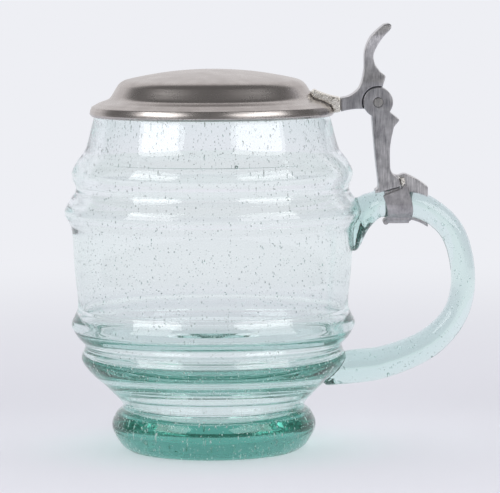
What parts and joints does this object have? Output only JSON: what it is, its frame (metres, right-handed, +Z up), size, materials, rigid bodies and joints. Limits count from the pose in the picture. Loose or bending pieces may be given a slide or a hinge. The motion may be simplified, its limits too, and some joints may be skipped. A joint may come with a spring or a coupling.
{
  "type": "lidded beer mug",
  "caption": "Barrel-shaped green glass beer mug with moulded rings, a looped glass handle, and a hinged pewter lid with a thumb lift.",
  "frame": {"origin": "on the table, below the middle of the mug's box, handle included", "axes": "+X from the body towards the handle, +Y along the lid's hinge pin, +Z up"},
  "size_m": [0.1436, 0.1036, 0.1486],
  "materials": {
    "green_glass": "clear pressed and blown glass, faintly blue-green, full of small seeds",
    "lid_pewter": "spun pewter, satin",
    "cast_pewter": "cast pewter, filed and brushed, darkened",
    "pin_steel": "plain steel pin",
    "solder": "bright tin solder"
  },
  "bodies": {
    "mug": {"glass_body": "green_glass", "glass_handle": "green_glass", "hinge_post": "cast_pewter", "hinge_pin": "pin_steel", "handle_strap": "cast_pewter", "strap_solder_front": "solder", "strap_solder_back": "solder"},
    "lid": {"lid_shell": "lid_pewter", "lid_solder": "solder", "thumb_lift": "cast_pewter"}
  },
  "joints": [
    {"name": "lid_hinge", "type": "hinge", "parent": "mug", "child": "lid", "pos_m": [0.03768, 0, 0.1213], "axis": [0, 1, 0], "range_deg": [0, 110]}
  ]
}
